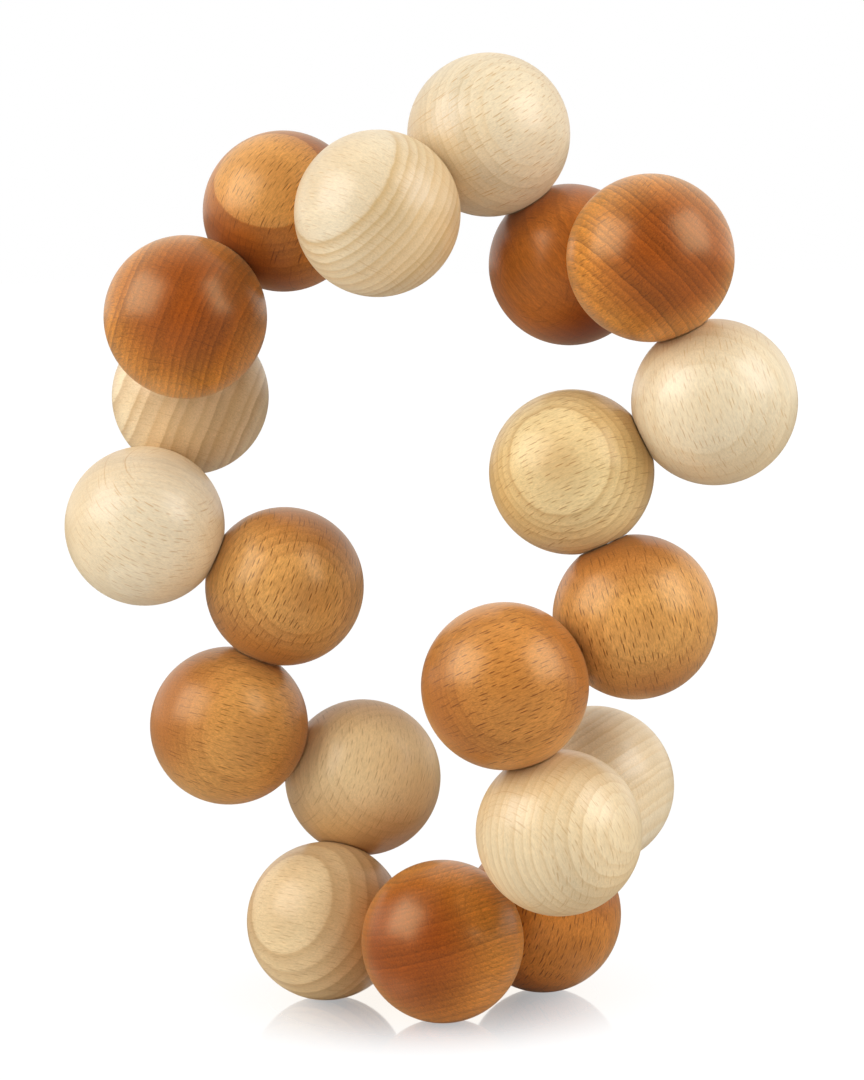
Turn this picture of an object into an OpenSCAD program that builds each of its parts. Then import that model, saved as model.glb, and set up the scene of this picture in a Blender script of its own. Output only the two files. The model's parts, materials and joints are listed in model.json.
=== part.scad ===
// A closed ring of turned beech balls, each joined to the next by a stiff captive swivel.
// Two holes in each ball lie at nearly a right angle, so the ring folds and stands in many shapes.
// Here it stands on three balls, in the tall open shape of the photographed one.

/* [Balls] */
// Diameter of a ball
ball_d = 40; // [38:1:60]
// Depth of the flat that is turned on a ball around each swivel hole
flat_depth = 1; // [0.8:0.1:2]
// Angle at a ball's centre between its two swivel holes
hole_angle = 92.5; // [90:0.5:95]
// Gap between the flats of two joined balls
seam_gap = 0.3; // [0.2:0.05:1]

/* [Swivel pins] */
// Diameter of the shank that turns in the bush
shank_d = 4; // [3:0.5:5]
// Width of the shoulder, from the shank out to the glued tail
shoulder_w = 0.5; // [0.4:0.1:1]
// Length of the tail that is glued into its ball
tail_l = 9.5; // [7:0.5:10]
// Width of each glue groove round the tail
tail_groove_w = 0.8; // [0.4:0.1:1]
// Depth of each glue groove round the tail
tail_groove_depth = 0.3; // [0.1:0.1:0.5]
// How far the head reaches out past the shank
head_rim = 1.2; // [0.8:0.1:1.6]
// Thickness of the head
head_t = 1.8; // [1:0.1:2.4]

/* [Spring washers] */
// Thickness of the steel
washer_t = 0.3; // [0.2:0.05:0.4]
// How far the washer is still dished once it is squeezed
washer_dish = 0.25; // [0.1:0.05:0.4]

/* [Bushes] */
// Length of a bush
bush_l = 8; // [7:0.5:9]
// Thickness of the lip that holds the pin's head captive
lip_t = 1.6; // [1.2:0.1:2]
// Wall of the bush around the head's pocket
bush_wall = 1; // [0.8:0.1:1.2]
// Width of each glue groove round the bush
bush_groove_w = 1; // [0.5:0.1:1.2]
// Depth of each glue groove round the bush
bush_groove_depth = 0.3; // [0.1:0.1:0.5]

/* [Fits] */
// Radial clearance of the turning shank in the lip
shank_play = 0.08; // [0.05:0.01:0.1]
// Axial clearance at each face that slides on another
face_play = 0.05; // [0.03:0.01:0.1]
// Radial room around the head and the washer in the pocket
pocket_play = 0.3; // [0.2:0.05:0.4]
// Glue line between a metal piece and the wood
glue_t = 0.05; // [0.02:0.01:0.1]
// Room past the tail's end for squeezed-out glue
glue_room = 0.5; // [0.2:0.1:1]
// Bevel on the edges of the metal pieces
bevel = 0.3; // [0.1:0.05:0.4]

/* [Pose] */
// Turn of the standing ring about the vertical
heading = 4.2; // [-180:0.1:180]

/* [Hidden] */
$fn = 96;
// How far each swivel is turned, in degrees, read from the photograph in steps of 5.
// The ring is then closed by turning each one a little further, by under 3 degrees.
SWIVEL_TURNS = [
    115, 25, -140, -50, 170, 150, -170, -60, 170, -85,
    -100, 165, -130, 155, -105, -150, 170, 155, -120, -65
];
ball_count = len(SWIVEL_TURNS);
// The tone of beech that each ball is made from, in ring order
BALL_TONES = [
    "red", "brown", "pale", "pale", "orange", "brown", "honey", "pale", "red", "brown",
    "pale", "pale", "brown", "red", "natural", "pale", "brown", "brown", "natural", "natural"
];
TONE_COLOURS = [
    ["pale", "#e8cfab"], ["natural", "#e0bd85"], ["honey", "#d3a06a"],
    ["brown", "#b98153"], ["orange", "#c27a45"], ["red", "#96553a"]
];
STEEL = "#b9bcc0";
BRASS = "#c9a552";

// The flats of two joined balls face each other across the seam.
flat_r = ball_d / 2 - flat_depth;
pitch = 2 * flat_r + seam_gap;
// The cutter of a flat is as wide as the ball is thick there, so it clears the whole cap.
flat_cutter_d = ball_d;

tail_d = shank_d + 2 * shoulder_w;
head_d = shank_d + 2 * head_rim;
lip_bore_d = shank_d + 2 * shank_play;
pocket_d = head_d + 2 * pocket_play;
bush_d = pocket_d + 2 * bush_wall;
washer_h = washer_t + washer_dish;

// Places along a swivel axis, from the centre of the ball that holds the tail
lip_front = pitch - flat_r;
lip_back = lip_front + lip_t;
washer_front = lip_back + face_play;
head_front = washer_front + washer_h + face_play;
head_back = head_front + head_t;
tail_front = lip_front - face_play;
tail_back = flat_r - tail_l;
// A drill leaves a cone of 118 degrees at the end of its hole.
drill_point = 59;
tail_hole_r = tail_d / 2 + glue_t;
bush_hole_r = bush_d / 2 + glue_t;

// The three balls that the ring stands on come together in the chain.
FOOT = [ball_count - 1, 0, 1];
CLOSING_ROUNDS = 6;
NO_TURN = [[1, 0, 0], [0, 1, 0], [0, 0, 1]];

function label(kind, k) = str(kind, k < 9 ? "_0" : "_", k + 1);

// Matrices and their columns
function turn_x(a) = [[1, 0, 0], [0, cos(a), -sin(a)], [0, sin(a), cos(a)]];
function turn_z(a) = [[cos(a), -sin(a), 0], [sin(a), cos(a), 0], [0, 0, 1]];
function column(m, k) = [for (row = m) row[k]];
function transposed(m) = [for (k = [0 : len(m[0]) - 1]) column(m, k)];
function unit(v) = v / norm(v);

// A seat is [turn, centre] of one ball, in ball spacings. Its X axis is the way to the next ball.
function next_seat(seat, swivel_turn) = [
    seat[0] * turn_x(swivel_turn) * turn_z(180 - hole_angle),
    seat[1] + column(seat[0], 0)
];

// All seats from the first ball on, and one more, which should fall on the first again
function chain(turns, seat = [NO_TURN, [0, 0, 0]], k = 0) =
    k == len(turns) ? [seat]
    : concat([seat], chain(turns, next_seat(seat, turns[k]), k + 1));

// How far the last seat misses the first: three of place and three of turn
function misfit(end) = let (m = end[0])
    concat(end[1], [m[2][1] - m[1][2], m[0][2] - m[2][0], m[1][0] - m[0][1]] / 2);

// How the last seat moves as each swivel turns
function levers(seats) = let (end = seats[len(seats) - 1][1])
    [for (k = [0 : len(seats) - 2]) let (axis = column(seats[k][0], 0))
        concat(cross(axis, end - seats[k][1]), axis)];

// Solves m * x = b for a symmetric m, by conjugate gradients
function solved(m, b) = steps_towards(m, [for (v = b) 0], b, b, len(b));
function steps_towards(m, x, rest, way, left) =
    left == 0 || rest * rest < 1e-24 ? x
    : let (mw = m * way, s = (rest * rest) / (way * mw), rest2 = rest - s * mw)
        steps_towards(m, x + s * way, rest2, rest2 + (rest2 * rest2) / (rest * rest) * way, left - 1);

// The least extra turns that bring the last seat onto the first
function closed(turns, rounds) =
    rounds == 0 ? turns
    : let (seats = chain(turns), arms = levers(seats),
           pull = solved(transposed(arms) * arms, misfit(seats[len(turns)])))
        closed(turns - arms * pull * 180 / PI, rounds - 1);

SEATS = chain(closed(SWIVEL_TURNS, CLOSING_ROUNDS));
CENTRES = [for (k = [0 : ball_count - 1]) SEATS[k][1] * pitch];

// The floor runs through the three foot balls, and the others are above it.
foot_x = unit(CENTRES[FOOT[2]] - CENTRES[FOOT[0]]);
foot_n = unit(cross(CENTRES[FOOT[1]] - CENTRES[FOOT[0]], CENTRES[FOOT[2]] - CENTRES[FOOT[1]]));
foot_up = (CENTRES[ball_count / 2] - CENTRES[FOOT[1]]) * foot_n < 0 ? -foot_n : foot_n;
STAND = turn_z(heading) * [foot_x, cross(foot_up, foot_x), foot_up];
STOOD = [for (c = CENTRES) STAND * (c - CENTRES[FOOT[1]])];
function middle(k) = let (v = column(STOOD, k)) (min(v) + max(v)) / 2;
ORIGIN = [middle(0), middle(1), -ball_d / 2];

// Puts what is drawn about a ball's own centre at that ball's place in the standing ring.
module at_ball(k) {
    turn = STAND * SEATS[k][0];
    place = STOOD[k] - ORIGIN;
    multmatrix([for (i = [0 : 2]) concat(turn[i], place[i])]) children();
}

// Turns what is drawn along Z to run along the hole for the next ball's pin, or the last ball's.
module along_next() rotate([0, 90, 0]) children();
module along_last() rotate([0, 0, hole_angle]) rotate([0, 90, 0]) children();

module flat_cut() translate([0, 0, flat_r]) cylinder(h = ball_d, d = flat_cutter_d);

// A drilled hole from the flat down, with a drill's cone at its end
module tail_hole() {
    bottom = tail_back - glue_room;
    rotate_extrude() polygon([
        [0, bottom - tail_hole_r / tan(drill_point)], [tail_hole_r, bottom],
        [tail_hole_r, ball_d / 2], [0, ball_d / 2]
    ]);
}

// A flat-bottomed hole that the bush is glued into
module bush_hole() translate([0, 0, flat_r - bush_l]) cylinder(h = ball_d, r = bush_hole_r);

module ball(k) {
    tone = TONE_COLOURS[search([BALL_TONES[k]], TONE_COLOURS)[0]][1];
    color(tone) difference() {
        sphere(d = ball_d);
        along_next() { flat_cut(); tail_hole(); }
        along_last() { flat_cut(); bush_hole(); }
    }
}

// Square grooves cut evenly into a round bar between two places on its axis
module glue_grooves(r, depth, w, from, to, count) {
    step = (to - from) / count;
    for (k = [0 : count - 1]) translate([0, 0, from + (k + 0.5) * step - w / 2])
        difference() {
            cylinder(h = w, r = r + depth);
            translate([0, 0, -w]) cylinder(h = 3 * w, r = r - depth);
        }
}

// The tail is glued into this ball, and the head is held captive in the next one.
module pin() {
    color(STEEL) along_next() {
        difference() {
            rotate_extrude() polygon([
                [0, tail_back], [tail_d / 2 - bevel, tail_back], [tail_d / 2, tail_back + bevel],
                [tail_d / 2, tail_front], [shank_d / 2, tail_front],
                [shank_d / 2, head_front], [head_d / 2, head_front],
                [head_d / 2, head_back - bevel], [head_d / 2 - bevel, head_back], [0, head_back]
            ]);
            glue_grooves(tail_d / 2, tail_groove_depth, tail_groove_w, tail_back, flat_r, 3);
        }
        spring_washer();
    }
}

// A dished washer squeezed between the lip and the head gives the swivel its stiff feel.
module spring_washer() {
    rotate_extrude() polygon([
        [lip_bore_d / 2, washer_front + washer_dish], [head_d / 2, washer_front],
        [head_d / 2, washer_front + washer_t], [lip_bore_d / 2, washer_front + washer_h]
    ]);
}

// The bush holds the last ball's pin by its head. Its own axis starts at the flat of this ball.
module bush() {
    color(BRASS) along_last() translate([0, 0, flat_r]) mirror([0, 0, 1]) difference() {
        rotate_extrude() polygon([
            [lip_bore_d / 2, 0], [bush_d / 2 - bevel, 0], [bush_d / 2, bevel],
            [bush_d / 2, bush_l], [pocket_d / 2, bush_l], [pocket_d / 2, lip_t],
            [lip_bore_d / 2, lip_t]
        ]);
        glue_grooves(bush_d / 2, bush_groove_depth, bush_groove_w, lip_t, bush_l, 2);
    }
}

for (k = [0 : ball_count - 1]) {
    at_ball(k) ball(k);
    at_ball(k) pin();
    at_ball(k) bush();
}
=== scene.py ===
"""Looks of a closed ring of linked wooden balls: turned beech, steel swivel pins, brass bushes and a studio."""

import json
import logging
import math
from dataclasses import dataclass, field
from enum import Enum

import bmesh
import bpy
from mathutils import Matrix, Vector

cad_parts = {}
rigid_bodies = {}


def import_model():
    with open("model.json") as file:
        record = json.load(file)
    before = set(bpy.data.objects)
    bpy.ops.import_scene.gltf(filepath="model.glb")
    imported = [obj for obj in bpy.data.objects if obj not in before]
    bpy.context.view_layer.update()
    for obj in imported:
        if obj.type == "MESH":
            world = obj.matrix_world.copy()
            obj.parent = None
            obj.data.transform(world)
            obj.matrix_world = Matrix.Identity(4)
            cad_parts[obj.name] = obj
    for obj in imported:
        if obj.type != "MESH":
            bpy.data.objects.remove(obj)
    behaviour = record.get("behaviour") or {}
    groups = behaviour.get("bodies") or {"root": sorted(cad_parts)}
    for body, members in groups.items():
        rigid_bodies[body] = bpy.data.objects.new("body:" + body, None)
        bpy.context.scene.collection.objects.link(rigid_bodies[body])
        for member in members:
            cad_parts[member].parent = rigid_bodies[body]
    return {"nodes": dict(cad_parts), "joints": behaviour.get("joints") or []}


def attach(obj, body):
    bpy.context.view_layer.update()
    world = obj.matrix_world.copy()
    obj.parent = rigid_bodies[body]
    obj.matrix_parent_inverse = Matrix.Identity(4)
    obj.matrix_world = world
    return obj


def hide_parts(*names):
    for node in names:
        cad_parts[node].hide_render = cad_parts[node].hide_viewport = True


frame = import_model()

LOG = logging.getLogger("ball_ring")
MM = 0.001
BALLS_IN_RING = 20


class Tone(Enum):
    """The six colours of the balls, by the names of the record's material slots."""

    RED = "beech_red"
    BROWN = "beech_brown"
    PALE = "beech_pale"
    ORANGE = "beech_orange"
    HONEY = "beech_honey"
    NATURAL = "beech_natural"


class SwivelMetal(Enum):
    """The metals of a swivel, by the names of the record's material slots."""

    STEEL = "pin_steel"
    BRASS = "bush_brass"


def linear(colour: tuple[int, int, int]) -> tuple[float, float, float, float]:
    """Turns a display colour into the linear colour that a shader takes.

    Args:
        colour: Red, green and blue from 0 to 255.

    Returns:
        The linear colour with an alpha of 1.
    """
    steps = [part / 255 for part in colour]
    red, green, blue = [
        step / 12.92 if step <= 0.04045 else ((step + 0.055) / 1.055) ** 2.4
        for step in steps
    ]
    return (red, green, blue, 1.0)


@dataclass(frozen=True)
class PhotoCamera:
    """The camera at the photograph's viewing angle. Lengths are in millimetres and angles in degrees."""

    place: tuple[float, float, float] = (1.726, -793.383, 207.156)
    look_down: float = 6.403
    roll: float = -0.956
    focal_px: float = 3236.0
    long_side_px: float = 1080.0
    sensor: float = 36.0

    def axes(self) -> Matrix:
        """Returns a rotation whose columns are the picture's right, its up and the way to the viewer."""
        down, roll = math.radians(self.look_down), math.radians(self.roll)
        level_right = Vector((1, 0, 0))
        level_up = Vector((0, math.sin(down), math.cos(down)))
        right = math.cos(roll) * level_right + math.sin(roll) * level_up
        up = math.cos(roll) * level_up - math.sin(roll) * level_right
        return Matrix((right, up, right.cross(up))).transposed()

    def seen(self, direction: tuple[float, float, float]) -> Vector:
        """Turns a direction given as right, up and towards the viewer into one in the frame's axes."""
        return self.axes() @ Vector(direction)

    def build(self) -> None:
        """Makes the camera and gives it to the scene."""
        data = bpy.data.cameras.new("camera")
        data.sensor_width = self.sensor
        data.lens = self.focal_px / self.long_side_px * self.sensor
        data.clip_start, data.clip_end = 0.01, 50
        camera = bpy.data.objects.new("camera", data)
        camera.matrix_world = Matrix.Translation(Vector(self.place) * MM) @ self.axes().to_4x4()
        bpy.context.scene.collection.objects.link(camera)
        bpy.context.scene.camera = camera
        LOG.info("camera: lens %.1f mm", data.lens)


@dataclass(frozen=True)
class Seat:
    """Where one ball sits: its number, its centre in metres, and the ways to its two neighbours."""

    number: int
    centre: Vector
    to_next: Vector
    to_last: Vector

    @property
    def ball_node(self) -> str:
        """The name of the ball's CAD node."""
        return f"ball_{self.number:02d}"

    @property
    def body(self) -> str:
        """The name of the body that the ball rides on."""
        return f"link_{self.number:02d}"


@dataclass
class RingSeats:
    """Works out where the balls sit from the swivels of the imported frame.

    Each swivel's place is the middle of a seam, and its axis points from one ball's centre to the
    other's. One seam of the ring is an open pivot with no joint, and its direction follows from the
    centres on its two sides.
    """

    half_pitch: float = 19.15 * MM
    centres: dict[int, Vector] = field(default_factory=dict)
    ways: dict[tuple[int, int], Vector] = field(default_factory=dict)

    def read(self, joints: list[dict]) -> list[Seat]:
        """Reads the swivels.

        Args:
            joints: The frame's joints.

        Returns:
            The seats in the ring's order.
        """
        for joint in joints:
            parent, child = int(joint["parent"][-2:]), int(joint["child"][-2:])
            place, axis = Vector(joint["pos_m"]), Vector(joint["axis"]).normalized()
            self.centres.setdefault(parent, place - axis * self.half_pitch)
            self.centres[child] = place + axis * self.half_pitch
            self.ways[parent, child], self.ways[child, parent] = axis, -axis
        return [self._seat(number) for number in range(1, BALLS_IN_RING + 1)]

    def _way(self, start: int, end: int) -> Vector:
        """Returns the direction from one ball's centre to its neighbour's."""
        if (start, end) in self.ways:
            return self.ways[start, end]
        return (self.centres[end] - self.centres[start]).normalized()

    def _seat(self, number: int) -> Seat:
        """Returns one ball's seat."""
        following = number % BALLS_IN_RING + 1
        previous = (number - 2) % BALLS_IN_RING + 1
        return Seat(number, self.centres[number], self._way(number, following), self._way(number, previous))


@dataclass(frozen=True)
class BeechFinish:
    """The colours and gloss of one stain or oil on beech.

    Attributes:
        side: Colour of the wood where the surface runs along the fibres.
        end: Colour where it cuts across them, which takes up more stain.
        line: Colour of the late wood at a ring's edge.
        ray: Colour of the rays.
        glint: Tint of the gloss, which the fibres just below the surface colour.
        gloss: Strength of the gloss, where 0.5 is a plain varnish.
        roughness: How widely the gloss spreads.
        bend: The varnish's index of refraction.
        bloom: Strength of the warm sheen that the fibres show at the rims.
        bloom_tint: The sheen's colour.
        texture: How strongly the fibres and pores show.
    """

    side: tuple[int, int, int]
    end: tuple[int, int, int]
    line: tuple[int, int, int]
    ray: tuple[int, int, int]
    glint: tuple[int, int, int]
    gloss: float = 0.5
    roughness: float = 0.33
    bend: float = 1.52
    bloom: float = 0.28
    bloom_tint: tuple[int, int, int] = (255, 222, 165)
    texture: float = 1.1

    def stained(self, colour: tuple[int, int, int], depth: float) -> tuple[float, float, float, float]:
        """Returns a colour as a shader takes it, deepened as by more stain.

        Args:
            colour: One of the finish's colours.
            depth: The depth of the stain, where 1 is the finish's usual one.
        """
        red, green, blue, alpha = linear(colour)
        return (red**depth, green**depth, blue**depth, alpha)


FINISHES: dict[Tone, BeechFinish] = {
    Tone.RED: BeechFinish(
        side=(200, 126, 44), end=(152, 71, 11), line=(96, 38, 4), ray=(96, 40, 6), glint=(255, 228, 176), gloss=0.8, texture=1.6
    ),
    Tone.BROWN: BeechFinish(
        side=(208, 143, 69), end=(164, 92, 30), line=(128, 64, 16), ray=(104, 50, 10), glint=(255, 230, 188), gloss=0.66
    ),
    Tone.PALE: BeechFinish(
        side=(231, 211, 174), end=(221, 194, 151), line=(192, 148, 78), ray=(192, 144, 84), glint=(255, 253, 248), gloss=0.6, texture=0.45
    ),
    Tone.ORANGE: BeechFinish(
        side=(198, 130, 58), end=(172, 100, 34), line=(142, 74, 20), ray=(114, 54, 12), glint=(255, 230, 188), gloss=0.7
    ),
    Tone.HONEY: BeechFinish(
        side=(228, 199, 140), end=(208, 168, 103), line=(164, 112, 50), ray=(156, 98, 40), glint=(255, 242, 216), gloss=0.5, texture=0.6
    ),
    Tone.NATURAL: BeechFinish(
        side=(230, 202, 154), end=(207, 166, 112), line=(160, 112, 58), ray=(158, 104, 52), glint=(255, 247, 230), gloss=0.5, texture=0.55
    ),
}


class Sawing(Enum):
    """How a ball's rings show: the levels of dark across one ring, by the share of its width."""

    FLAT = ((0.0, 0.6), (0.06, 0.8), (0.26, 0.44), (0.58, 0.16), (0.85, 0.03), (0.95, 0.06), (1.0, 0.4))
    STRIPED = ((0.0, 0.6), (0.09, 0.82), (0.3, 0.55), (0.55, 0.25), (0.8, 0.06), (0.93, 0.1), (1.0, 0.4))


@dataclass(frozen=True)
class Grain:
    """How one ball was cut from its plank.

    Directions are given as right, up and towards the viewer, as the photograph shows them.

    Attributes:
        eye: The side of the ball that faces the bark, where the growth rings show as circles.
        fibre: The way the fibres run.
        first: Depths of the first growth rings below that side, in millimetres.
        ring: The usual distance between the rings after them, in millimetres.
        rings: How strongly the rings' dark lines show.
        bands: How much the rings differ in tone.
        rays: How strongly the ray dashes show.
        stain: Depth of this ball's stain or oil against the others of its tone.
        light: Brightness of this ball's wood against the others of its tone.
        cap: Depth of the stain on the cap inside the first ring, which takes up less of it.
        sawing: Whether the rings show as fine lines or as broad stripes.
        pith: Distance from the ball's centre to the middle of the tree, in millimetres.
    """

    eye: tuple[float, float, float]
    fibre: tuple[float, float, float]
    first: tuple[float, ...] = (2.0,)
    ring: float = 3.0
    rings: float = 0.5
    bands: float = 0.5
    rays: float = 0.6
    stain: float = 1.0
    light: float = 1.0
    cap: float = 1.0
    sawing: Sawing = Sawing.FLAT
    pith: float = 90.0

    def turn(self, camera: PhotoCamera) -> Matrix:
        """Returns the rotation from the wood's own axes to the frame's.

        Args:
            camera: The camera that the directions refer to.

        Returns:
            A rotation with columns along the eye, along the rings and along the fibres.
        """
        outward = camera.seen(self.eye).normalized()
        along = camera.seen(self.fibre)
        along = (along - outward * along.dot(outward)).normalized()
        return Matrix((outward, along.cross(outward), along)).transposed()

    def ring_depths(self, deepest: float) -> list[float]:
        """Returns the depths of all the rings, the later ones at slightly uneven distances.

        Args:
            deepest: The depth at which they end, in millimetres.
        """
        depths = list(self.first)
        while depths[-1] < deepest and len(depths) < 29:
            depths.append(depths[-1] + self.ring * (1 + 0.3 * math.sin(2.3 * len(depths))))
        return depths


@dataclass(frozen=True)
class BallWood:
    """One ball's tone and the way it was cut."""

    tone: Tone
    grain: Grain


RING_WOOD: tuple[BallWood, ...] = (
    BallWood(
        Tone.RED,
        Grain(sawing=Sawing.STRIPED, eye=(0.2, -0.95, 0.1), fibre=(-0.5, -0.1, 0.86), ring=1.3, rings=0.5, bands=0.6, rays=0.3, stain=1.05, light=1.1),
    ),
    BallWood(
        Tone.BROWN,
        Grain(
            eye=(0.3, -0.4, 0.87), fibre=(0.35, 0.9, 0.3), first=(4, 7), ring=3.0,
            rings=0.4, bands=0.2, rays=0.9, stain=1.25,
        ),
    ),
    BallWood(
        Tone.PALE,
        Grain(sawing=Sawing.STRIPED, eye=(0.6, -0.75, 0.2), fibre=(0.5, 0.45, 0.7), ring=2.2, rings=0.55, bands=0.3, rays=0.3, stain=0.8),
    ),
    BallWood(
        Tone.PALE,
        Grain(
            eye=(0.75, 0.1, 0.65), fibre=(-0.33, 0.94, 0.24), first=(1.0, 2.0, 3.4, 5.2, 7.4, 9.6, 11.9, 13.7, 15.8),
            ring=2.3, rings=0.42, bands=0.25, rays=0.45, stain=1.15, light=1.05,
        ),
    ),
    BallWood(
        Tone.ORANGE,
        Grain(
            eye=(0.07, 0.12, 0.99), fibre=(0.92, 0.39, 0), first=(5.1, 6.9, 8.1), ring=1.5,
            rings=0.5, bands=0.2, rays=1.0, stain=1.0,
        ),
    ),
    BallWood(
        Tone.BROWN,
        Grain(
            eye=(0.04, -0.09, 0.99), fibre=(-0.26, 0.97, 0), first=(2.3, 4.1, 8.0, 11.6, 14.2, 16.9), ring=2.5,
            rings=0.34, bands=0.15, rays=1.0, stain=0.9,
        ),
    ),
    BallWood(
        Tone.HONEY,
        Grain(
            eye=(-0.22, 0.15, 0.96), fibre=(0.93, 0.37, 0), first=(4.2, 6.0, 7.4, 9.8), ring=3.0,
            rings=0.62, bands=0.25, rays=0.7, stain=0.92, cap=0.97,
        ),
    ),
    BallWood(
        Tone.PALE,
        Grain(
            eye=(-0.25, -0.14, 0.96), fibre=(-0.31, 0.95, 0), first=(3.2, 5.6, 9.0), ring=3.0,
            rings=0.28, bands=0.1, rays=0.6, stain=0.92, light=0.98,
        ),
    ),
    BallWood(
        Tone.RED,
        Grain(sawing=Sawing.STRIPED, eye=(-0.66, -0.74, 0.12), fibre=(0.3, 0.0, 0.95), ring=1.5, rings=0.65, bands=1.0, rays=0.6, light=1.07),
    ),
    BallWood(
        Tone.BROWN,
        Grain(
            sawing=Sawing.STRIPED, eye=(0.65, 0.6, 0.45), fibre=(0.55, -0.8, 0.2), ring=2.4, rings=0.3, bands=0.3, rays=0.35, stain=1.55, light=1.1,
        ),
    ),
    BallWood(
        Tone.PALE,
        Grain(
            eye=(0.5, 0.15, 0.85), fibre=(0.68, 0.5, -0.5), first=(3.5, 5.2, 7.1, 9.2, 10.8, 12.5, 14.0, 15.7),
            ring=2.3, rings=0.32, bands=0.25, rays=0.75, stain=0.9, light=0.97,
        ),
    ),
    BallWood(
        Tone.PALE,
        Grain(
            sawing=Sawing.STRIPED, eye=(-0.6, 0.5, 0.62), fibre=(0.63, -0.2, 0.75), first=(7.0, 9.3, 11.4, 13.6, 15.9, 18.4),
            ring=2.4, rings=0.7, bands=0.5, rays=0.4, cap=0.85,
        ),
    ),
    BallWood(
        Tone.BROWN,
        Grain(
            eye=(-0.19, 0.43, 0.88), fibre=(0.61, 0.74, -0.29), first=(5.2, 7.9, 9.5, 11.7, 14.0), ring=2.8,
            rings=0.4, bands=0.5, rays=0.7, stain=1.28, cap=0.74,
        ),
    ),
    BallWood(
        Tone.RED,
        Grain(sawing=Sawing.STRIPED, eye=(-0.92, 0.38, 0.06), fibre=(0.2, 0.1, 0.97), ring=1.7, rings=0.6, bands=0.9, rays=0.5, light=1.05),
    ),
    BallWood(
        Tone.NATURAL,
        Grain(sawing=Sawing.STRIPED, eye=(-0.9, 0.38, 0.2), fibre=(0.3, 0.0, 0.95), ring=3.2, rings=0.75, bands=0.5, rays=0.3, stain=0.78),
    ),
    BallWood(
        Tone.PALE,
        Grain(
            eye=(-0.1, -0.68, 0.72), fibre=(0.85, -0.3, -0.25), first=(0.9, 10.5, 12.5, 14.2, 16.0),
            ring=2.2, rings=0.22, bands=0.15, rays=0.65, stain=0.86,
        ),
    ),
    BallWood(
        Tone.BROWN,
        Grain(
            eye=(0.28, -0.08, 0.96), fibre=(0.4, 0.91, 0), first=(3.0, 4.6, 6.5, 8.2, 9.8, 11.6), ring=2.0,
            rings=0.52, bands=0.15, rays=1.0, stain=0.86,
        ),
    ),
    BallWood(
        Tone.BROWN,
        Grain(
            eye=(0.35, 0, 0.94), fibre=(0.95, -0.28, 0), first=(4.0, 7.0, 8.6, 10.3, 11.7, 13.2, 15.0), ring=1.9,
            rings=0.3, bands=0.12, rays=0.7, stain=0.92,
        ),
    ),
    BallWood(
        Tone.NATURAL,
        Grain(
            eye=(0.5, 0.2, 0.84), fibre=(0.2, 0.92, -0.33), first=(5.5, 7.5, 9.5, 12.0), ring=2.9,
            rings=0.24, bands=0.15, rays=0.4, stain=1.08, light=1.14,
        ),
    ),
    BallWood(
        Tone.NATURAL,
        Grain(
            sawing=Sawing.STRIPED, eye=(-0.5, 0.36, 0.79), fibre=(0.97, -0.26, 0.1), first=(4.0, 7.2, 10.8, 14.4), ring=3.4,
            rings=0.6, bands=0.6, rays=0.35, cap=0.97,
        ),
    ),
)


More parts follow.
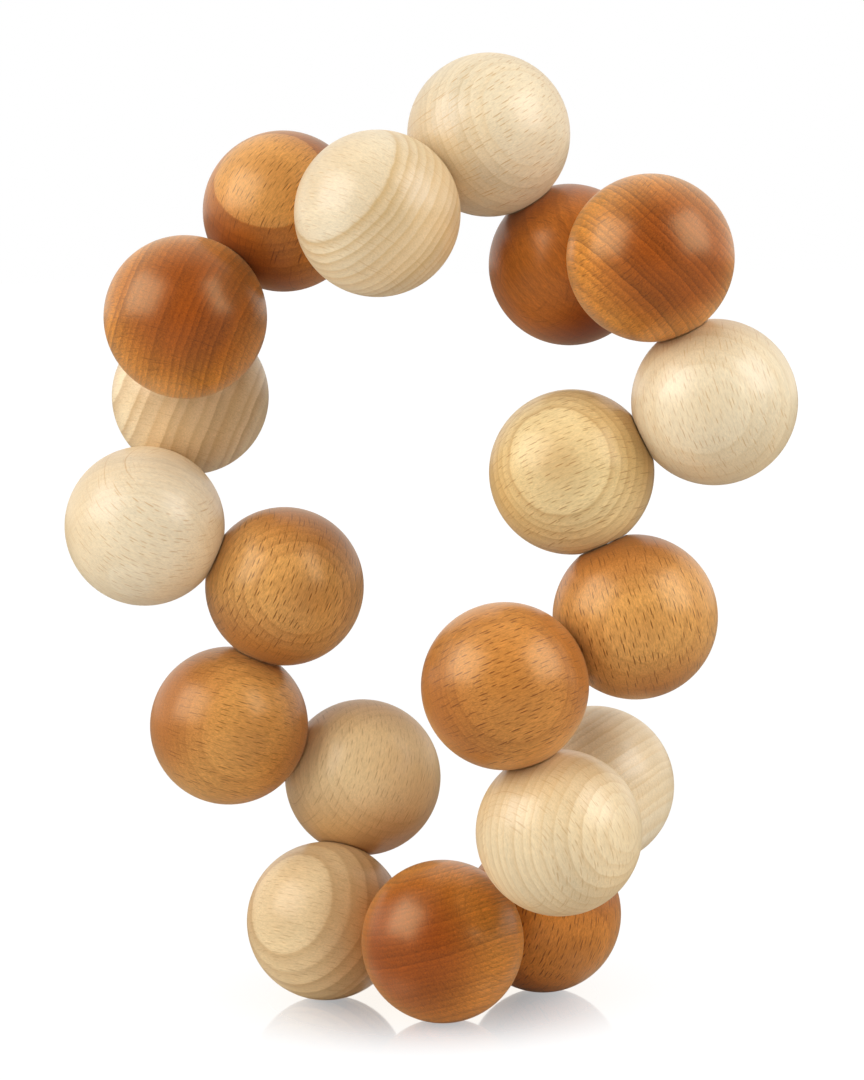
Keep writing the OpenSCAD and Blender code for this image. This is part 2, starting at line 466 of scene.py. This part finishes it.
class NodeBench:
    """Lays out the nodes of one material."""

    def __init__(self, name: str) -> None:
        """Starts a material with an empty node tree."""
        self.material = bpy.data.materials.new(name)
        self.material.use_nodes = True
        self.tree = self.material.node_tree
        self.tree.nodes.clear()

    def add(self, kind: str, **settings: object) -> bpy.types.Node:
        """Adds a node.

        Args:
            kind: The node's type, without its common prefix.
            settings: Properties to set on the node.

        Returns:
            The new node.
        """
        node = self.tree.nodes.new("ShaderNode" + kind)
        for key, value in settings.items():
            setattr(node, key, value)
        return node

    def feed(self, socket: bpy.types.NodeSocket, value: object) -> None:
        """Links a value to a socket if it is another node's output, and otherwise sets it there."""
        if isinstance(value, bpy.types.NodeSocket):
            self.tree.links.new(value, socket)
        else:
            socket.default_value = value

    def math(self, operation: str, *values: object, clamp: bool = False) -> bpy.types.NodeSocket:
        """Adds a Math node and returns its output."""
        node = self.add("Math", operation=operation, use_clamp=clamp)
        for socket, value in zip(node.inputs, values):
            self.feed(socket, value)
        return node.outputs[0]

    def combine(self, x: object, y: object, z: object = 0.0) -> bpy.types.NodeSocket:
        """Joins three numbers to a vector."""
        node = self.add("CombineXYZ")
        for socket, value in zip(node.inputs, (x, y, z)):
            self.feed(socket, value)
        return node.outputs[0]

    def separate(self, vector: bpy.types.NodeSocket) -> list[bpy.types.NodeSocket]:
        """Splits a vector into its three numbers."""
        node = self.add("SeparateXYZ")
        self.feed(node.inputs[0], vector)
        return list(node.outputs)

    def scaled(self, vector: bpy.types.NodeSocket, by: tuple[float, float, float]) -> bpy.types.NodeSocket:
        """Multiplies a vector by three factors."""
        node = self.add("VectorMath", operation="MULTIPLY")
        self.feed(node.inputs[0], vector)
        self.feed(node.inputs[1], by)
        return node.outputs[0]

    def length(self, vector: bpy.types.NodeSocket) -> bpy.types.NodeSocket:
        """Returns a vector's length."""
        node = self.add("VectorMath", operation="LENGTH")
        self.feed(node.inputs[0], vector)
        return node.outputs["Value"]

    def noise(
        self,
        vector: bpy.types.NodeSocket,
        by: tuple[float, float, float],
        detail: float = 2.0,
        roughness: float = 0.5,
    ) -> bpy.types.NodeSocket:
        """Adds smooth noise of about 0 to 1 on a stretched vector and returns it."""
        node = self.add("TexNoise", noise_dimensions="3D")
        self.feed(node.inputs["Vector"], self.scaled(vector, by))
        node.inputs["Scale"].default_value = 1.0
        node.inputs["Detail"].default_value = detail
        node.inputs["Roughness"].default_value = roughness
        return node.outputs[0]

    def line_noise(self, value: bpy.types.NodeSocket, scale: float) -> bpy.types.NodeSocket:
        """Adds smooth noise of about 0 to 1 along a line and returns it."""
        node = self.add("TexNoise", noise_dimensions="1D")
        self.feed(node.inputs["W"], value)
        node.inputs["Scale"].default_value = scale
        node.inputs["Detail"].default_value = 1.0
        return node.outputs[0]

    def step(
        self, value: object, low: float, high: float, start: float = 0.0, end: float = 1.0
    ) -> bpy.types.NodeSocket:
        """Goes smoothly from start to end while the value goes from low to high."""
        node = self.add("MapRange", interpolation_type="SMOOTHSTEP")
        self.feed(node.inputs["Value"], value)
        for name, number in zip(("From Min", "From Max", "To Min", "To Max"), (low, high, start, end)):
            node.inputs[name].default_value = number
        return node.outputs["Result"]

    def mix(self, share: object, first: object, second: object, blend: str = "MIX") -> bpy.types.NodeSocket:
        """Mixes two colours by a share from 0 to 1."""
        node = self.add("Mix", data_type="RGBA", blend_type=blend)
        self.feed(node.inputs[0], share)
        self.feed(node.inputs[6], first)
        self.feed(node.inputs[7], second)
        return node.outputs[2]

    def profile(self, value: bpy.types.NodeSocket, stops: tuple[tuple[float, float], ...]) -> bpy.types.NodeSocket:
        """Looks a value up in a curve of straight pieces, given as positions and levels."""
        node = self.add("ValToRGB")
        self.feed(node.inputs[0], value)
        elements = node.color_ramp.elements
        while len(elements) < len(stops):
            elements.new(0.5)
        for element, (position, level) in zip(elements, stops):
            element.position = position
            element.color = (level, level, level, 1.0)
        return node.outputs[0]


class BeechMaterial:
    """Beech as a solid block: growth rings round a pith, ribbon-like rays, fibres and pores."""

    def __init__(self, seat: Seat, finish: BeechFinish, grain: Grain, turn: Matrix, name: str) -> None:
        """Keeps what the block is made of and where it lies.

        Args:
            seat: Where the ball sits.
            finish: The colours and gloss.
            grain: The way the ball was cut.
            turn: The rotation from the wood's own axes to the frame's.
            name: The material's name.
        """
        self.bench = NodeBench(name)
        self.seat, self.finish, self.grain, self.turn = seat, finish, grain, turn
        self.radius = 20.0

    def build(self) -> bpy.types.Material:
        """Returns the finished material."""
        bench, finish = self.bench, self.finish
        place = self._wood_place()
        across, around, along = bench.separate(place)
        outward = bench.math("ADD", across, self.grain.pith)
        reach = bench.length(bench.combine(outward, around))
        arc = bench.math("MULTIPLY", bench.math("ARCTAN2", around, outward), self.grain.pith)
        late, tint, cap = self._rings(place, reach)
        rays = self._rays(place, arc, around, along)
        fibres = bench.noise(place, (2.2, 2.2, 0.22), detail=3.0, roughness=0.7)
        grit = bench.noise(place, (3.4, 3.4, 0.9), detail=2.0, roughness=0.7)
        cloud = bench.noise(place, (0.07, 0.07, 0.035), detail=2.0)
        end_grain = bench.step(bench.math("ABSOLUTE", along), 0.25 * self.radius, 0.95 * self.radius)
        side, end, line, ray = [
            finish.stained(colour, self.grain.stain) for colour in (finish.side, finish.end, finish.line, finish.ray)
        ]
        colour = bench.mix(end_grain, side, end)
        if self.grain.cap != 1:
            paler = self.grain.stain * self.grain.cap
            cap_side, cap_end = finish.stained(finish.side, paler), finish.stained(finish.end, paler)
            colour = bench.mix(cap, colour, bench.mix(end_grain, cap_side, cap_end))
        colour = bench.mix(late, colour, line)
        shade = bench.math("MULTIPLY_ADD", bench.math("SUBTRACT", fibres, 0.5), 0.9 * finish.texture, self.grain.light)
        shade = bench.math("MULTIPLY_ADD", bench.math("SUBTRACT", grit, 0.5), 0.7 * finish.texture, shade)
        shade = bench.math("MULTIPLY_ADD", bench.math("SUBTRACT", cloud, 0.5), 0.4, shade)
        shade = bench.math("MULTIPLY_ADD", tint, 0.16, shade)
        colour = bench.mix(1.0, colour, bench.combine(shade, shade, shade), "MULTIPLY")
        colour = bench.mix(rays, colour, ray)
        self._shader(colour, rays, fibres)
        return bench.material

    def _wood_place(self) -> bpy.types.NodeSocket:
        """Returns the place in the wood's own axes, in millimetres from the ball's centre."""
        bench = self.bench
        mapping = bench.add("Mapping", vector_type="TEXTURE")
        bench.feed(mapping.inputs["Vector"], bench.add("TexCoord").outputs["Object"])
        mapping.inputs["Location"].default_value = self.seat.centre
        mapping.inputs["Rotation"].default_value = self.turn.to_euler("XYZ")
        mapping.inputs["Scale"].default_value = (MM, MM, MM)
        return mapping.outputs[0]

    def _rings(
        self, place: bpy.types.NodeSocket, reach: bpy.types.NodeSocket
    ) -> tuple[bpy.types.NodeSocket, bpy.types.NodeSocket, bpy.types.NodeSocket]:
        """Makes the growth rings.

        Args:
            place: The place in the wood.
            reach: The distance from the pith.

        Returns:
            How dark the late wood is, from 0 to 1, each ring's own tint, from -1 to 1, and whether
            the place lies in the cap inside the first ring.
        """
        bench, grain = self.bench, self.grain
        waves = bench.noise(place, (0.07, 0.07, 0.03), detail=1.0)
        ripple = bench.noise(place, (0.45, 0.45, 0.08), detail=2.0)
        depth = bench.math("SUBTRACT", grain.pith + self.radius, reach)
        depth = bench.math("MULTIPLY_ADD", bench.math("SUBTRACT", waves, 0.5), 1.6, depth)
        depth = bench.math("MULTIPLY_ADD", bench.math("SUBTRACT", ripple, 0.5), 0.5, depth)
        deepest = 2 * self.radius
        depths = grain.ring_depths(deepest)
        total = len(depths)
        stops = [(0.0, 0.0)] + [(at / deepest, (number + 1) / total) for number, at in enumerate(depths)]
        share = bench.profile(bench.math("DIVIDE", depth, deepest), tuple(stop for stop in stops if stop[0] <= 1))
        count = bench.math("MULTIPLY", share, float(total))
        late = bench.profile(bench.math("FRACT", count), grain.sawing.value)
        own = bench.add("TexWhiteNoise", noise_dimensions="1D")
        bench.feed(own.inputs["W"], bench.math("ADD", bench.math("FLOOR", count), 31.0 * self.seat.number))
        weight = bench.math("MULTIPLY_ADD", own.outputs["Value"], 0.4 * grain.rings, 0.6 * grain.rings)
        tints = bench.separate(own.outputs["Color"])
        tint = bench.math("MULTIPLY_ADD", tints[1], 2.0 * grain.bands, -grain.bands)
        return bench.math("MULTIPLY", late, weight), tint, bench.step(count, 0.93, 1.0, 1.0, 0.0)

    def _rays(
        self,
        place: bpy.types.NodeSocket,
        arc: bpy.types.NodeSocket,
        around: bpy.types.NodeSocket,
        along: bpy.types.NodeSocket,
    ) -> bpy.types.NodeSocket:
        """Makes the rays, thin ribbons that run out from the pith and stand along the fibres.

        They fade where the surface would cut one flat or end on, because a single large fleck would
        show there.

        Args:
            place: The place in the wood.
            arc: The place round the pith.
            around: The distance from the plane through the pith and the ball's centre.
            along: The place along the fibres.

        Returns:
            The strength of the rays, from 0 to 1.
        """
        bench = self.bench
        drift = bench.noise(place, (0.12, 0.12, 0.05), detail=1.0)
        arc = bench.math("MULTIPLY_ADD", drift, 1.2, arc)
        broad = self._dashes(arc, along, cell=(1.3, 3.5), half=(0.13, 1.8))
        small = self._dashes(arc, along, cell=(0.7, 1.9), half=(0.07, 0.7))
        small = bench.math("MULTIPLY", small, 0.45)
        both = bench.math("MAXIMUM", broad, small)
        aside = bench.math("MAXIMUM", bench.math("ABSOLUTE", along), bench.math("ABSOLUTE", around))
        edgewise = bench.step(aside, 0.84 * self.radius, 0.95 * self.radius, 1.0, 0.0)
        return bench.math("MULTIPLY", both, bench.math("MULTIPLY", edgewise, self.grain.rays))

    def _dashes(
        self,
        arc: bpy.types.NodeSocket,
        along: bpy.types.NodeSocket,
        cell: tuple[float, float],
        half: tuple[float, float],
    ) -> bpy.types.NodeSocket:
        """Scatters dashes, one to a cell.

        Args:
            arc: The place round the pith.
            along: The place along the fibres.
            cell: The size of a cell, across and along, in millimetres.
            half: Half the width and half the greatest length of a dash.

        Returns:
            1 on a dash and 0 off it.
        """
        bench = self.bench
        spot = bench.combine(bench.math("DIVIDE", arc, cell[0]), bench.math("DIVIDE", along, cell[1]))
        cells = bench.add("TexVoronoi", voronoi_dimensions="2D")
        bench.feed(cells.inputs["Vector"], spot)
        cells.inputs["Scale"].default_value = 1.0
        offset = bench.add("VectorMath", operation="SUBTRACT")
        bench.feed(offset.inputs[0], spot)
        bench.feed(offset.inputs[1], cells.outputs["Position"])
        across, lengthwise, _ = bench.separate(offset.outputs[0])
        own = bench.separate(cells.outputs["Color"])
        stretch = bench.math("MULTIPLY_ADD", own[0], 0.6, 0.4)
        lengthwise = bench.math("DIVIDE", bench.math("MULTIPLY", lengthwise, cell[1] / half[1]), stretch)
        across = bench.math("MULTIPLY", across, cell[0] / half[0])
        edge = bench.length(bench.combine(across, lengthwise))
        level = bench.math("MULTIPLY_ADD", own[1], 0.55, 0.45)
        return bench.math("MULTIPLY", bench.step(edge, 0.5, 1.15, 1.0, 0.0), level)

    def _shader(
        self, colour: bpy.types.NodeSocket, rays: bpy.types.NodeSocket, fibres: bpy.types.NodeSocket
    ) -> None:
        """Adds the shader with its gloss and its fine relief."""
        bench, finish = self.bench, self.finish
        shader = bench.add("BsdfPrincipled")
        bench.feed(shader.inputs["Base Color"], colour)
        rough = bench.math("MULTIPLY_ADD", fibres, 0.16, finish.roughness - 0.08)
        bench.feed(shader.inputs["Roughness"], rough)
        shader.inputs["Specular IOR Level"].default_value = finish.gloss
        shader.inputs["Specular Tint"].default_value = linear(finish.glint)
        shader.inputs["IOR"].default_value = finish.bend
        shader.inputs["Sheen Weight"].default_value = finish.bloom
        shader.inputs["Sheen Tint"].default_value = linear(finish.bloom_tint)
        height = bench.math("MULTIPLY_ADD", rays, -0.6, bench.math("MULTIPLY", fibres, finish.texture))
        bump = bench.add("Bump")
        bump.inputs["Strength"].default_value = 0.25
        bump.inputs["Distance"].default_value = 0.045 * MM
        bench.feed(bump.inputs["Height"], height)
        bench.feed(shader.inputs["Normal"], bump.outputs[0])
        output = bench.add("OutputMaterial")
        bench.feed(output.inputs["Surface"], shader.outputs[0])


@dataclass(frozen=True)
class MetalFinish:
    """The colour and gloss of a turned metal part."""

    colour: tuple[int, int, int]
    roughness: float
    wear: float

    def material(self, name: str) -> bpy.types.Material:
        """Returns the metal's material, with fine scratches and a slight tarnish."""
        bench = NodeBench(name)
        place = bench.add("TexCoord").outputs["Object"]
        scratches = bench.noise(place, (4000, 4000, 900), detail=3.0)
        tarnish = bench.noise(place, (260, 260, 260), detail=2.0)
        shader = bench.add("BsdfPrincipled")
        shader.inputs["Metallic"].default_value = 1.0
        level = bench.math("MULTIPLY_ADD", tarnish, -self.wear, 1.0 + self.wear / 2)
        shade = bench.combine(level, level, level)
        bench.feed(shader.inputs["Base Color"], bench.mix(1.0, linear(self.colour), shade, "MULTIPLY"))
        bench.feed(shader.inputs["Roughness"], bench.math("MULTIPLY_ADD", scratches, 0.2, self.roughness - 0.1))
        output = bench.add("OutputMaterial")
        bench.feed(output.inputs["Surface"], shader.outputs[0])
        return bench.material


METALS: dict[SwivelMetal, MetalFinish] = {
    SwivelMetal.STEEL: MetalFinish(colour=(198, 196, 192), roughness=0.3, wear=0.15),
    SwivelMetal.BRASS: MetalFinish(colour=(214, 178, 104), roughness=0.32, wear=0.3),
}


@dataclass(frozen=True)
class TurnedBall:
    """One turned ball with its two flats and two bores. Lengths are in metres.

    Attributes:
        seat: Where the ball sits.
        wood: Its tone and the way it was cut.
        radius: The ball's radius.
        flat: Distance from the centre to a flat.
        ease: How deep the flat's rim is eased.
        pin_bore: Radius of the drilled hole on the side of the next ball.
        pin_depth: Distance from the centre to where that hole's cone begins.
        pin_point: Distance from the centre to the cone's tip.
        bush_bore: Radius of the flat-bottomed hole on the side of the last ball.
        bush_depth: Distance from the centre to its bottom.
    """

    seat: Seat
    wood: BallWood
    radius: float = 20.0 * MM
    flat: float = 19.0 * MM
    ease: float = 0.06 * MM
    pin_bore: float = 2.55 * MM
    pin_depth: float = 9.0 * MM
    pin_point: float = 7.47 * MM
    bush_bore: float = 4.55 * MM
    bush_depth: float = 11.0 * MM

    def build(self, camera: PhotoCamera) -> bpy.types.Object:
        """Builds the ball in its place and dresses it.

        Args:
            camera: The camera that the grain's directions refer to.

        Returns:
            The finished piece.
        """
        mesh = bmesh.new()
        bmesh.ops.create_uvsphere(mesh, u_segments=112, v_segments=56, radius=self.radius)
        self._bore(mesh, self.seat.to_next, self.pin_bore, self.pin_depth, self.pin_point)
        self._bore(mesh, self.seat.to_last, self.bush_bore, self.bush_depth, self.bush_depth)
        bmesh.ops.recalc_face_normals(mesh, faces=mesh.faces)
        bmesh.ops.translate(mesh, verts=mesh.verts, vec=self.seat.centre)
        self._smooth(mesh)
        data = bpy.data.meshes.new(f"turned_{self.seat.ball_node}")
        mesh.to_mesh(data)
        mesh.free()
        piece = bpy.data.objects.new(f"turned_{self.seat.ball_node}", data)
        bpy.context.scene.collection.objects.link(piece)
        self._dress(piece, camera)
        return piece

    def _bore(self, mesh: bmesh.types.BMesh, way: Vector, radius: float, depth: float, tip: float) -> None:
        """Turns a flat with an eased rim on one side of the ball and bores a hole in its middle.

        Args:
            mesh: The ball, centred on the origin.
            way: The direction of the hole.
            radius: The hole's radius.
            depth: Distance from the centre to the end of the hole's straight wall.
            tip: Distance from the centre to the hole's deepest point.
        """
        cut_height = self.flat - self.ease
        cut = bmesh.ops.bisect_plane(
            mesh,
            geom=mesh.verts[:] + mesh.edges[:] + mesh.faces[:],
            plane_co=way * cut_height,
            plane_no=way,
            clear_outer=True,
        )
        loop = [part for part in cut["geom_cut"] if isinstance(part, bmesh.types.BMEdge)]
        rim = math.sqrt(self.radius**2 - cut_height**2)
        flat_rim = rim - 3 * self.ease
        bevel = 0.1 * MM
        stops = (
            (flat_rim, self.flat),
            (flat_rim - 0.3 * MM, self.flat),
            (radius + bevel, self.flat),
            (radius, self.flat - bevel),
            (radius, depth),
            (0.0, tip),
        )
        at_radius, at_height = rim, cut_height
        for next_radius, next_height in stops:
            loop = self._step_in(mesh, loop, way, at_height, next_radius / at_radius, next_height - at_height)
            at_radius, at_height = next_radius, next_height
        bmesh.ops.remove_doubles(mesh, verts=[v for v in mesh.verts if self._near(v.co, way * tip)], dist=0.1 * MM)

    @staticmethod
    def _near(place: Vector, target: Vector) -> bool:
        """Tells whether a point lies at the closed end of a hole."""
        return (place - target).length < 0.05 * MM

    @staticmethod
    def _step_in(
        mesh: bmesh.types.BMesh,
        loop: list[bmesh.types.BMEdge],
        way: Vector,
        height: float,
        scale: float,
        move: float,
    ) -> list[bmesh.types.BMEdge]:
        """Extrudes an open rim, scales the new rim about the hole's axis and moves it along the axis.

        Args:
            mesh: The ball.
            loop: The edges of the open rim.
            way: The direction of the hole.
            height: The rim's distance from the centre.
            scale: The new rim's size against the old one's.
            move: How far the new rim moves outwards.

        Returns:
            The edges of the new rim.
        """
        grown = bmesh.ops.extrude_edge_only(mesh, edges=loop)["geom"]
        verts = [part for part in grown if isinstance(part, bmesh.types.BMVert)]
        edges = [part for part in grown if isinstance(part, bmesh.types.BMEdge)]
        bmesh.ops.scale(
            mesh, verts=verts, vec=(scale, scale, scale), space=Matrix.Translation(-way * height)
        )
        bmesh.ops.translate(mesh, verts=verts, vec=way * move)
        return edges

    @staticmethod
    def _smooth(mesh: bmesh.types.BMesh, sharp: float = math.radians(32)) -> None:
        """Shades the faces smooth and keeps the edges of the holes sharp."""
        for face in mesh.faces:
            face.smooth = True
        for edge in mesh.edges:
            edge.smooth = len(edge.link_faces) == 2 and edge.calc_face_angle(0.0) < sharp

    def _dress(self, piece: bpy.types.Object, camera: PhotoCamera) -> None:
        """Gives the ball its own beech and ties it to the frame."""
        finish, grain = FINISHES[self.wood.tone], self.wood.grain
        name = f"{self.wood.tone.value}_{self.seat.number:02d}"
        beech = BeechMaterial(self.seat, finish, grain, grain.turn(camera), name)
        piece.data.materials.append(beech.build())
        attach(piece, self.seat.body)
        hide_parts(self.seat.ball_node)


class BallRing:
    """The whole ring: its balls, and the metal of its swivels."""

    def __init__(self, camera: PhotoCamera) -> None:
        """Keeps the camera and reads the seats from the frame."""
        self.camera = camera
        self.seats = RingSeats().read(frame["joints"])

    def build(self) -> None:
        """Builds the balls and dresses the swivels."""
        for seat, wood in zip(self.seats, RING_WOOD):
            piece = TurnedBall(seat, wood).build(self.camera)
            LOG.info("%s: %s, %d faces", piece.name, wood.tone.name.lower(), len(piece.data.polygons))
        self._dress_swivels()

    def _dress_swivels(self) -> None:
        """Gives the pins and bushes, which keep their CAD shape, their metal."""
        steel = METALS[SwivelMetal.STEEL].material("turned_steel")
        brass = METALS[SwivelMetal.BRASS].material("turned_brass")
        for name, node in frame["nodes"].items():
            metal = {"pin": steel, "bus": brass}.get(name[:3])
            if metal is None:
                continue
            for slot in node.material_slots:
                slot.material = metal
            LOG.info("%s: %s", name, metal.name)


@dataclass(frozen=True)
class SoftBox:
    """A rectangular studio lamp. Lengths are in metres and angles in degrees, seen from the camera.

    Attributes:
        name: The lamp's name.
        bearing: Its angle round the object from the camera, with the right side positive.
        lift: Its angle above the horizon.
        distance: Its distance from the object's middle.
        width: Its width.
        height: Its height.
        radiance: How bright its face is, where 1 is as bright as a white background.
    """

    name: str
    bearing: float
    lift: float
    distance: float
    width: float
    height: float
    radiance: float

    def build(self, target: Vector) -> None:
        """Makes the lamp and turns it to the target."""
        data = bpy.data.lights.new(self.name, "AREA")
        data.shape = "RECTANGLE"
        data.size, data.size_y = self.width, self.height
        data.energy = self.radiance * math.pi * self.width * self.height
        bearing, lift = math.radians(self.bearing), math.radians(self.lift)
        way = Vector((math.sin(bearing) * math.cos(lift), -math.cos(bearing) * math.cos(lift), math.sin(lift)))
        lamp = bpy.data.objects.new(self.name, data)
        lamp.rotation_mode = "QUATERNION"
        lamp.rotation_quaternion = way.to_track_quat("Z", "Y")
        lamp.location = target + way * self.distance
        bpy.context.scene.collection.objects.link(lamp)
        LOG.info("%s: %.1f W", self.name, data.energy)


@dataclass(frozen=True)
class Studio:
    """The white room: floor, surroundings and two soft boxes.

    Attributes:
        middle: The point the lamps are turned to, in metres.
        floor_radius: The floor's radius, in metres.
        polish: How much of the floor's middle mirrors what stands on it.
        polish_middle: The middle of the polished spot, in metres.
        polish_reach: Where the polish begins to fade and where it ends, in metres from the middle.
        fill: Brightness of the surroundings as a light.
        front_dim: Brightness of the dark front of the room, as gloss sees it.
        back_gloss: Brightness of the room's back, as gloss sees it.
        floor_gloss: Brightness of the floor as gloss sees it, against what the camera sees.
        boxes: The lamps.
    """

    middle: tuple[float, float, float] = (0.0, 0.0, 0.12)
    floor_radius: float = 6.0
    polish: float = 0.72
    polish_middle: tuple[float, float, float] = (0.0, 0.015, 0.0)
    polish_reach: tuple[float, float] = (0.008, 0.068)
    fill: float = 0.3
    front_dim: float = 0.02
    back_gloss: float = 1.0
    floor_gloss: float = 0.1
    boxes: tuple[SoftBox, ...] = (
        SoftBox("left_soft_box", bearing=-66, lift=30, distance=1.1, width=0.95, height=0.85, radiance=4.3),
        SoftBox("right_soft_box", bearing=65, lift=32, distance=1.1, width=0.8, height=0.85, radiance=4.1),
    )

    def build(self) -> None:
        """Builds the floor, the surroundings and the lamps, and sets the view."""
        self._floor()
        self._surroundings()
        for box in self.boxes:
            box.build(Vector(self.middle))
        bpy.context.scene.view_settings.view_transform = "Standard"

    def _floor(self) -> None:
        """Builds the floor, whose polish fades away from its middle."""
        mesh = bmesh.new()
        bmesh.ops.create_circle(mesh, cap_ends=True, segments=96, radius=self.floor_radius)
        data = bpy.data.meshes.new("floor")
        mesh.to_mesh(data)
        mesh.free()
        floor = bpy.data.objects.new("floor", data)
        bpy.context.scene.collection.objects.link(floor)
        data.materials.append(self._floor_material())

    def _floor_material(self) -> bpy.types.Material:
        """Returns a white that shows as white to the camera and still takes the object's shadow."""
        bench = NodeBench("white_floor")
        rays = bench.add("LightPath")
        gloss = bench.math("MAXIMUM", rays.outputs["Is Glossy Ray"], rays.outputs["Is Transmission Ray"])
        shown = bench.math("MAXIMUM", rays.outputs["Is Camera Ray"], gloss)
        seen = bench.math("MAXIMUM", rays.outputs["Is Camera Ray"], bench.math("MULTIPLY", gloss, self.floor_gloss))
        matt = bench.add("BsdfDiffuse")
        bench.feed(matt.inputs["Color"], bench.mix(shown, (0.82, 0.82, 0.82, 1), (0.12, 0.12, 0.12, 1)))
        glow = bench.add("Emission")
        glow.inputs["Color"].default_value = (1, 1, 1, 1)
        reach = bench.length(bench.add("TexCoord").outputs["Object"])
        bench.feed(glow.inputs["Strength"], bench.math("MULTIPLY", seen, bench.step(reach, 0.2, 1.2, 0.93, 1.0)))
        white = bench.add("AddShader")
        bench.feed(white.inputs[0], matt.outputs[0])
        bench.feed(white.inputs[1], glow.outputs[0])
        mirror = bench.add("BsdfAnisotropic")
        mirror.inputs["Color"].default_value = (1, 0.92, 0.82, 1)
        mirror.inputs["Roughness"].default_value = 0.06
        spot = bench.add("Mapping", vector_type="TEXTURE")
        bench.feed(spot.inputs["Vector"], bench.add("TexCoord").outputs["Object"])
        spot.inputs["Location"].default_value = self.polish_middle
        reach = bench.length(spot.outputs[0])
        polish = bench.step(reach, self.polish_reach[0], self.polish_reach[1], self.polish, 0.0)
        both = bench.add("MixShader")
        bench.feed(both.inputs[0], polish)
        bench.feed(both.inputs[1], white.outputs[0])
        bench.feed(both.inputs[2], mirror.outputs[0])
        output = bench.add("OutputMaterial")
        bench.feed(output.inputs["Surface"], both.outputs[0])
        return bench.material

    def _surroundings(self) -> None:
        """Makes the surroundings: white to the camera, and darker in front where gloss sees them."""
        world = bpy.data.worlds.new("white_room")
        bpy.context.scene.world = world
        world.use_nodes = True
        nodes, links = world.node_tree.nodes, world.node_tree.links
        nodes.clear()

        def calc(operation: str, first: object, second: object) -> bpy.types.NodeSocket:
            """Adds a Math node and returns its output."""
            node = nodes.new("ShaderNodeMath")
            node.operation = operation
            for socket, value in zip(node.inputs, (first, second)):
                if isinstance(value, bpy.types.NodeSocket):
                    links.new(value, socket)
                else:
                    socket.default_value = value
            return node.outputs[0]

        paths = nodes.new("ShaderNodeLightPath")
        ways = nodes.new("ShaderNodeSeparateXYZ")
        links.new(nodes.new("ShaderNodeTexCoord").outputs["Generated"], ways.inputs[0])
        behind = nodes.new("ShaderNodeMapRange")
        behind.interpolation_type = "SMOOTHSTEP"
        links.new(ways.outputs["Y"], behind.inputs["Value"])
        for name, value in (("From Min", -0.5), ("From Max", 0.3), ("To Min", self.front_dim), ("To Max", self.back_gloss)):
            behind.inputs[name].default_value = value
        gloss = calc("MAXIMUM", paths.outputs["Is Glossy Ray"], paths.outputs["Is Transmission Ray"])
        seen = calc("MAXIMUM", paths.outputs["Is Camera Ray"], calc("MULTIPLY", gloss, behind.outputs["Result"]))
        lighting = calc("SUBTRACT", 1.0, calc("MAXIMUM", paths.outputs["Is Camera Ray"], gloss))
        strength = calc("ADD", seen, calc("MULTIPLY", lighting, self.fill))
        background = nodes.new("ShaderNodeBackground")
        background.inputs["Color"].default_value = (1, 1, 1, 1)
        links.new(strength, background.inputs["Strength"])
        output = nodes.new("ShaderNodeOutputWorld")
        links.new(background.outputs[0], output.inputs["Surface"])


def main() -> None:
    """Builds the ring's looks and its studio in order."""
    logging.basicConfig(level=logging.INFO, format="%(name)s %(message)s")
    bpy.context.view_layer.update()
    camera = PhotoCamera()
    camera.build()
    BallRing(camera).build()
    Studio().build()


if __name__ == "__main__":
    main()
